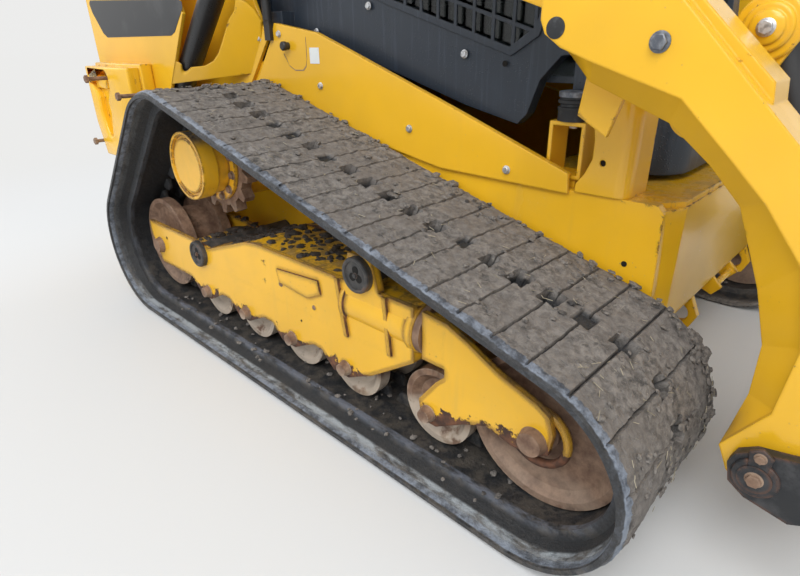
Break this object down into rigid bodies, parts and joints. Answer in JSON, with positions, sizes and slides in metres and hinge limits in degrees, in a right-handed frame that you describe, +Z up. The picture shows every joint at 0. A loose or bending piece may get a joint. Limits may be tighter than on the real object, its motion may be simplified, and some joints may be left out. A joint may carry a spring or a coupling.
{
  "type": "compact track loader",
  "caption": "Compact track loader with rubber tracks, radial lift arms, a quick coupler and an enclosed cab.",
  "frame": {"origin": "on the ground, under the middle of the machine", "axes": "+X forward, +Y to the machine's left, +Z up"},
  "size_m": [3.006, 1.982, 2.115],
  "materials": {
    "track_rubber": "matt black rubber under dried mud",
    "machine_yellow": "glossy yellow enamel, chipped and muddy",
    "cast_brown": "bare iron, rusted, polished where it rolls",
    "frame_black": "satin black paint, rusted",
    "cab_dark": "dark slate grey powder coat",
    "glass": "tinted safety glass",
    "mount_rubber": "black rubber",
    "steel": "zinc plated",
    "rod_chrome": "hard chrome",
    "seat_vinyl": "black vinyl",
    "pod_plastic": "black plastic",
    "lamp_lens": "clear lens",
    "engine_iron": "painted iron"
  },
  "bodies": {
    "chassis": {"bay_sides": "cab_dark", "cab_floor": "cab_dark", "cab_frame": "cab_dark", "cab_glass": "glass", "cab_mounts": "mount_rubber", "cab_roof": "cab_dark", "cab_struts": "frame_black", "chassis": "machine_yellow", "control_pods": "pod_plastic", "cooler": "cab_dark", "counterweights": "machine_yellow", "cowl": "cab_dark", "engine": "engine_iron", "exhaust_outlet": "steel", "final_drives": "machine_yellow", "fixed_hinges": "cab_dark", "front_forks": "machine_yellow", "front_posts": "machine_yellow", "idlers": "cast_brown", "mount_brackets": "machine_yellow", "roof_lamps": "lamp_lens", "seat": "seat_vinyl", "side_panels": "machine_yellow", "sprockets": "cast_brown", "tail_lamps": "lamp_lens", "tie_down_plates": "machine_yellow", "torsion_axles": "cast_brown", "towers": "machine_yellow", "track_frames": "machine_yellow", "track_left": "track_rubber", "track_right": "track_rubber", "track_rollers": "cast_brown", "window_guards": "cab_dark"},
    "lift_arms": {"lift_arm_right": "machine_yellow", "lift_arm_left": "machine_yellow", "arm_cross_tube": "machine_yellow"},
    "coupler": {"coupler": "frame_black"},
    "lift_barrels": {"lift_barrels": "frame_black"},
    "lift_rods": {"lift_rods": "rod_chrome"},
    "tilt_barrels": {"tilt_barrels": "frame_black"},
    "tilt_rods": {"tilt_rods": "rod_chrome"},
    "cab_door": {"cab_door": "cab_dark", "door_glass": "glass"},
    "rear_door": {"rear_door": "cab_dark"},
    "hood": {"hood": "cab_dark"}
  },
  "joints": [
    {"name": "lift", "type": "hinge", "parent": "chassis", "child": "lift_arms", "pos_m": [-1.06, 0, 1.5], "axis": [0, -1, 0], "range_deg": [0, 64.7]},
    {"name": "lift_swing", "type": "hinge", "parent": "chassis", "child": "lift_barrels", "pos_m": [-1.031, 0, 0.59], "axis": [0, -1, 0], "range_deg": [-0.1, 29.71]},
    {"name": "lift_slide", "type": "slide", "parent": "lift_barrels", "child": "lift_rods", "axis": [0.7291, 0, 0.6844], "range_m": [-0.001, 0.60389]},
    {"name": "tilt", "type": "hinge", "parent": "lift_arms", "child": "coupler", "pos_m": [1.304, 0, 0.29], "axis": [0, -1, 0], "range_deg": [-108, 28]},
    {"name": "tilt_swing", "type": "hinge", "parent": "lift_arms", "child": "tilt_barrels", "pos_m": [1.118, 0, 0.971], "axis": [0, -1, 0], "range_deg": [-0.532, 0.212]},
    {"name": "tilt_slide", "type": "slide", "parent": "tilt_barrels", "child": "tilt_rods", "axis": [0.3902, 0, -0.9207], "range_m": [-0.04787, 0.18177]},
    {"name": "cab_door", "type": "hinge", "parent": "chassis", "child": "cab_door", "pos_m": [0.832, 0.354, 1.12], "axis": [-0.104, 0, 0.9946], "range_deg": [0, 95]},
    {"name": "rear_door", "type": "hinge", "parent": "chassis", "child": "rear_door", "pos_m": [-1.454, 0.545, 1], "axis": [0, 0, -1], "range_deg": [0, 100]},
    {"name": "hood", "type": "hinge", "parent": "chassis", "child": "hood", "pos_m": [-0.567, 0, 1.439], "axis": [0, 1, 0], "range_deg": [0, 60]}
  ],
  "couplings": [
    {"joint": "lift_swing", "follows": "lift", "ratio": 0.4576},
    {"joint": "lift_slide", "follows": "lift", "m_per_rad": 0.5339},
    {"joint": "tilt_swing", "follows": "tilt", "ratio": 0.004},
    {"joint": "tilt_slide", "follows": "tilt", "m_per_rad": -0.0959}
  ]
}
